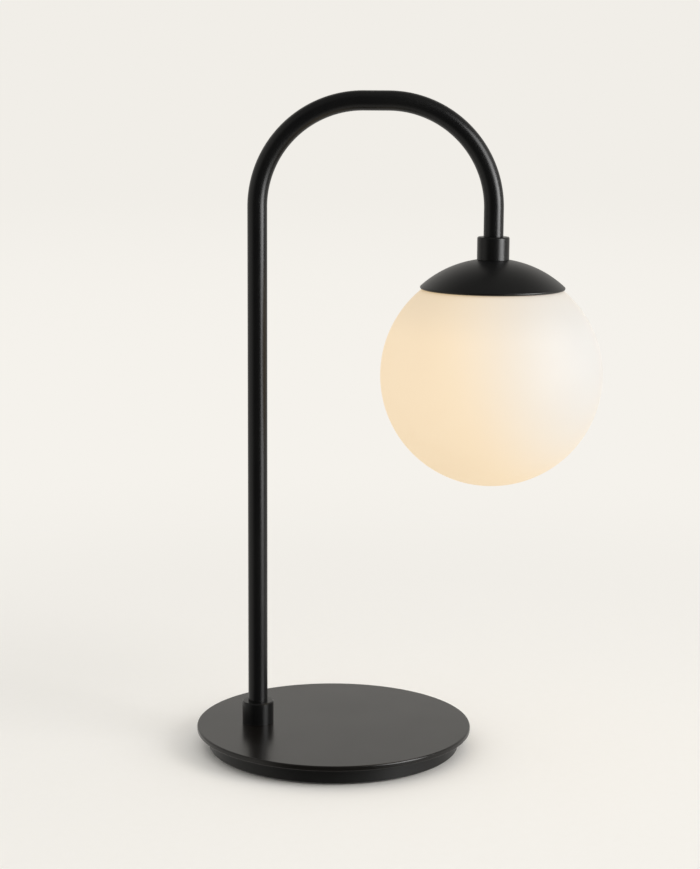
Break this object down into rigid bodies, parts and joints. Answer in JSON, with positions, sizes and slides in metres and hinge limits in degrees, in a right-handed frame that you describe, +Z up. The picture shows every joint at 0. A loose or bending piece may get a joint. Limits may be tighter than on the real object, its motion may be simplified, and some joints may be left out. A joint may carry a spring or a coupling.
{
  "type": "glass globe table lamp",
  "caption": "Table lamp: round weighted base, slender tube arched over to one side, and an opal glass globe screwed up into a domed metal cap.",
  "frame": {"origin": "middle of the round base, on the surface that the lamp stands on", "axes": "+Z up, +X from the stem towards the globe, +Y to the back, where the cord inlet is"},
  "size_m": [0.3305, 0.228, 0.5415],
  "materials": {
    "satin_black_steel": "satin powder coat",
    "satin_black_plate": "satin powder coat, a little browner where it catches the light",
    "satin_black_iron": "satin powder coat on cast iron",
    "zinc_steel": "bright zinc plate",
    "brass": "plain",
    "pad_foam": "soft foam rubber",
    "silicone": "soft translucent",
    "black_plastic": "fine moulded texture",
    "white_plastic": "moulded",
    "white_ceramic": "unglazed",
    "lead_insulation": "soft",
    "opal_glass": "satin opal, lit warm from inside",
    "bulb_glass": "frosted",
    "nickel": "thin nickel plate",
    "black_glass": "moulded insulator"
  },
  "bodies": {
    "lamp": {"base_pad": "pad_foam", "bottom_cover": "zinc_steel", "cover_screws": "zinc_steel", "base_body": "satin_black_iron", "base_plate": "satin_black_plate", "plate_washers": "zinc_steel", "plate_nuts": "zinc_steel", "cord_gland": "black_plastic", "terminal_block": "white_plastic", "terminal_screws": "brass", "block_screw": "zinc_steel", "stem_washer": "zinc_steel", "stem_nut": "zinc_steel", "lower_nipple": "zinc_steel", "lower_bushing": "brass", "foot_collar": "satin_black_steel", "foot_grub_screw": "zinc_steel", "stem_tube": "satin_black_steel", "tube_leads": "lead_insulation", "upper_bushing": "brass", "upper_nipple": "zinc_steel", "upper_collar": "satin_black_steel", "upper_grub_screw": "zinc_steel", "shade_cap": "satin_black_steel", "globe_gallery": "zinc_steel", "pendant_nut": "zinc_steel", "holder_cap": "black_plastic", "holder_body": "black_plastic", "holder_core": "white_ceramic", "holder_terminal_screws": "brass", "holder_screw_shell": "brass", "holder_contact": "brass"},
    "globe_gasket": {"globe_gasket": "silicone"},
    "globe": {"globe": "opal_glass"},
    "bulb": {"bulb_glass": "bulb_glass", "bulb_cap": "nickel", "bulb_tip": "black_glass"}
  },
  "joints": [
    {"name": "globe_lift_off", "type": "slide", "parent": "lamp", "child": "globe_gasket", "axis": [0, 0, -1], "range_m": [0, 0.125]},
    {"name": "globe_unscrew", "type": "hinge", "parent": "globe_gasket", "child": "globe", "pos_m": [0.1265, 0, 0.39], "axis": [0, 0, -1], "range_deg": [0, 540]},
    {"name": "bulb_out", "type": "slide", "parent": "lamp", "child": "bulb", "axis": [0, 0, -1], "range_m": [0, 0.028]}
  ]
}
